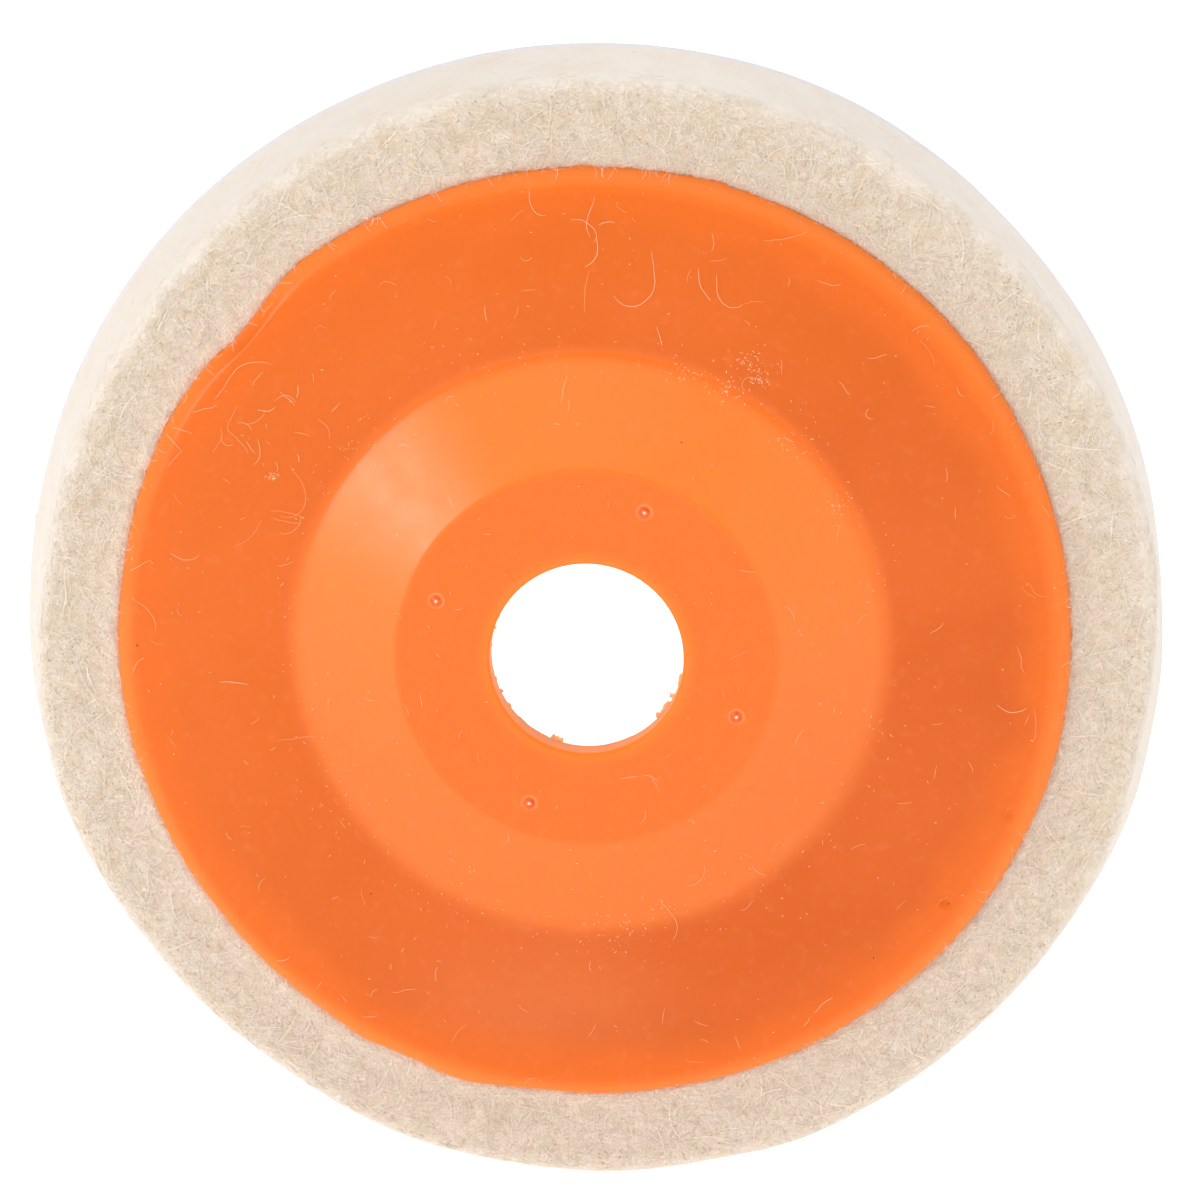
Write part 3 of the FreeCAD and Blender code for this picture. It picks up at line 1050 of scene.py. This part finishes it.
CAMERA_AZIMUTH_DEG = 3.1
CAMERA_ELEVATION_DEG = 13.3
CAMERA_DISTANCE = 0.3785
CAMERA_RIGHT = 0.00115  # the axis of the lens passes this far right of the hub's centre
CAMERA_UP = 0.00496
FILM_WIDTH_MM = 36.0
FOCAL_LENGTH_MM = 135.6


def camera():
    a, e = math.radians(CAMERA_AZIMUTH_DEG), math.radians(CAMERA_ELEVATION_DEG)
    back = Vector((math.sin(a) * math.cos(e), -math.cos(a) * math.cos(e), math.sin(e)))
    right = Vector((math.cos(a), math.sin(a), 0))
    up = back.cross(right)
    data = bpy.data.cameras.new("camera")
    data.sensor_width = FILM_WIDTH_MM
    data.lens = FOCAL_LENGTH_MM
    data.clip_start, data.clip_end = 0.01, 20.0
    made = bpy.data.objects.new("camera", data)
    spot = back * CAMERA_DISTANCE + right * CAMERA_RIGHT + up * CAMERA_UP
    made.matrix_world = Matrix((
        (right.x, up.x, back.x, spot.x),
        (right.y, up.y, back.y, spot.y),
        (right.z, up.z, back.z, spot.z),
        (0, 0, 0, 1),
    ))
    bpy.context.scene.collection.objects.link(made)
    bpy.context.scene.camera = made


# ---------------- the whole wheel

def attach(piece, material_slot, *nodes):
    """The piece moves with the wheel and stands for these CAD nodes, which it hides. The material slot
    argument is not used.
    """
    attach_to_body(piece, BODY)
    if nodes:
        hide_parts(*nodes)
    return piece


def felt_fibres(nap, stray, hair):
    """The fibres of the felt: its back, its edge and cut wall, its working face, and its wall in the well."""
    wool = FeltNap()
    foot = wool.run_at(RIM_R - 0.6, FELT_BACK_Y)
    edge = wool.run_at(BACK_EDGE_R - 1.3, FELT_BACK_Y)
    wall = wool.run_at(BACK_EDGE_R, FELT_BACK_Y + 1.2)
    brim = wool.run_at(FELT_OUT_R, WORKING_FACE_Y)
    lip = wool.run_at(FELT_INNER_R, WORKING_FACE_Y)
    end = float(wool.run[-1])
    return [
        wool.lay(
            "felt_back_nap_a", 51, 5200, (foot, edge + 0.6),
            length=(0.5, 1.8), height=(0.02, 0.07), width=(0.04, 0.075), curl=1.0, material=nap,
        ),
        wool.lay(
            "felt_back_nap_b", 52, 5200, (foot, edge + 1.3),
            length=(0.5, 2.2), height=(0.02, 0.09), width=(0.03, 0.06), curl=0.9, material=nap,
        ),
        wool.lay(
            "felt_back_strays_a", 53, 2800, (foot, edge + 0.8),
            length=(1.2, 4.2), height=(0.05, 0.2), width=(0.022, 0.048), curl=0.35, material=stray, steps=8,
        ),
        wool.lay(
            "felt_back_strays_b", 68, 2800, (foot, edge + 0.8),
            length=(0.8, 3.0), height=(0.04, 0.16), width=(0.02, 0.044), curl=0.5, material=stray, steps=8,
        ),
        wool.lay(
            "felt_back_hairs", 60, 360, (foot, edge + 1.0),
            length=(1.4, 5.0), height=(0.08, 0.26), width=(0.03, 0.055), curl=0.2, material=hair, steps=8,
        ),
        wool.lay(
            "felt_foot_fuzz", 59, 2200, (foot, foot + 2.4),
            length=(0.4, 1.5), height=(0.06, 0.32), width=(0.022, 0.042), curl=0.7, material=hair,
        ),
        wool.lay(
            "felt_edge_fuzz", 54, 1800, (edge - 0.6, wall + 0.8),
            length=(0.5, 1.8), height=(0.01, 0.08), width=(0.02, 0.04), curl=0.6, material=stray,
        ),
        wool.lay(
            "felt_wall_nap", 55, 2000, (wall, brim),
            length=(0.5, 2.2), height=(0.01, 0.04), width=(0.02, 0.04), curl=0.7, material=stray,
        ),
        wool.lay(
            "felt_face_nap", 56, 6000, (brim - 0.4, lip),
            length=(1.0, 3.6), height=(0.02, 0.09), width=(0.05, 0.09), curl=0.8, material=nap,
        ),
        wool.lay(
            "felt_face_strays", 57, 3200, (brim, lip),
            length=(2.0, 6.5), height=(0.04, 0.22), width=(0.035, 0.06), curl=0.45, material=stray, steps=8,
        ),
        wool.lay(
            "felt_well_nap", 58, 2400, (lip - 0.4, end - 0.2),
            length=(0.8, 3.0), height=(0.02, 0.12), width=(0.04, 0.07), curl=0.8, material=nap,
        ),
    ]


def loose_fibres(hair, dust, grit, seed=64):
    """What lies on the plate: strands, hairs over its rim, short fibres, dust and grit."""
    pieces = [placed_strands("plate_strands", dust), rim_hairs("rim_hairs", hair)]
    rng = np.random.default_rng(seed)
    spread = ring_starts(rng, 150, BORE_R + 1.5, RIM_R - 0.3)
    specks = dust_starts(rng)
    return pieces + [
        strewn_fibres(
            "plate_fibres", 62, spread,
            length=(0.25, 1.7), width=(0.02, 0.036), curl=0.9, high=0.08, material=dust,
        ),
        strewn_fibres(
            "plate_dust", 63, specks,
            length=(0.05, 0.26), width=(0.03, 0.07), curl=1.5, high=0.03, material=dust, steps=2,
        ),
        strewn_fibres(
            "plate_grit", 67, np.array(GRIT),
            length=(0.1, 0.2), width=(0.14, 0.22), curl=0.5, high=0.02, material=grit, steps=2,
        ),
    ]


def main():
    camera()
    nap = fibre_material("wool_nap", colour(230, 217, 200), colour(203, 183, 158), 0.5)
    stray = fibre_material("wool_strays", colour(246, 237, 225), colour(232, 217, 198), 0.3)
    hair = fibre_material("wool_hairs", colour(252, 244, 233), colour(238, 222, 204))
    dust = fibre_material("loose_wool", colour(255, 228, 192), colour(252, 170, 116))
    grit = fibre_material("dark_grit", colour(132, 66, 34), colour(84, 44, 30))

    attach(backing_plate(plastic_material()), "plate_plastic", "backing_plate")
    attach(bore_burrs(burr_material()), "plate_plastic")
    attach(adhesive(glue_material()), "adhesive", "adhesive_layer")
    ring = attach(felt_ring(felt_material()), "wool_felt", "felt_ring")
    for piece in felt_fibres(nap, stray, hair) + loose_fibres(hair, dust, grit):
        attach(piece, "wool_felt")

    floor(floor_material())
    world()
    area_light("key", azimuth=-46, elevation=17, distance=0.9, size=0.29, power=2.5)
    area_light("fill", azimuth=58, elevation=24, distance=0.9, size=0.7, power=1.0)
    area_light("top", azimuth=5, elevation=62, distance=1.0, size=0.8, power=1.75)
    area_light("rear", azimuth=162, elevation=64, distance=1.0, size=0.8, power=1.5)
    sky_light(strength=0.4)
    bpy.context.scene.view_settings.view_transform = "Standard"


main()
